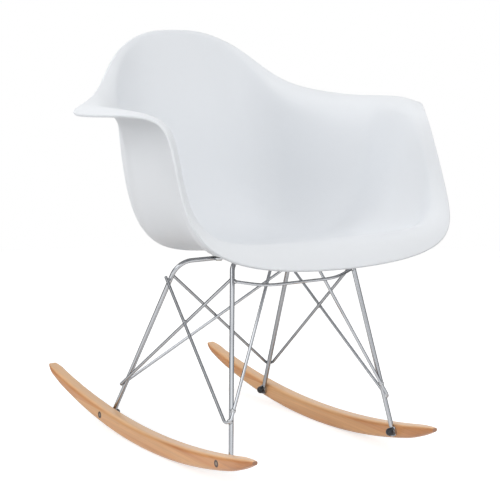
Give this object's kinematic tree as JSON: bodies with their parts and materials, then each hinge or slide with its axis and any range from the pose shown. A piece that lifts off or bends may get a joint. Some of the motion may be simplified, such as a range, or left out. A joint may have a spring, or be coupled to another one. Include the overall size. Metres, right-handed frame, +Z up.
{
  "type": "rocking chair",
  "caption": "Moulded plastic armchair shell on a welded wire base that is bolted to two curved wooden rockers.",
  "frame": {"origin": "on the floor between the rockers, in line with where they touch it at rest", "axes": "+Z up, -Y out of the chair's front, +X to the sitter's left"},
  "size_m": [0.65, 0.6971, 0.692],
  "materials": {
    "shell": "satin",
    "rod": "polished",
    "wood": "satin lacquer",
    "fastener": "zinc plated",
    "insert": "plain",
    "spacer": "matte",
    "cap": "satin"
  },
  "bodies": {
    "root": {"seat_shell": "shell", "threaded_inserts": "insert", "rubber_spacers": "spacer", "seat_screws": "fastener", "front_leg_hoop": "rod", "rear_leg_hoop": "rod", "front_mount_rings": "rod", "rear_mount_rings": "rod", "front_cross_rod": "rod", "front_right_strut": "rod", "front_left_strut": "rod", "rear_right_strut": "rod", "rear_left_strut": "rod", "right_rocker": "wood", "left_rocker": "wood", "rocker_bolts": "fastener", "foot_washers": "fastener", "lock_nuts": "fastener", "nut_caps": "cap"}
  },
  "joints": []
}
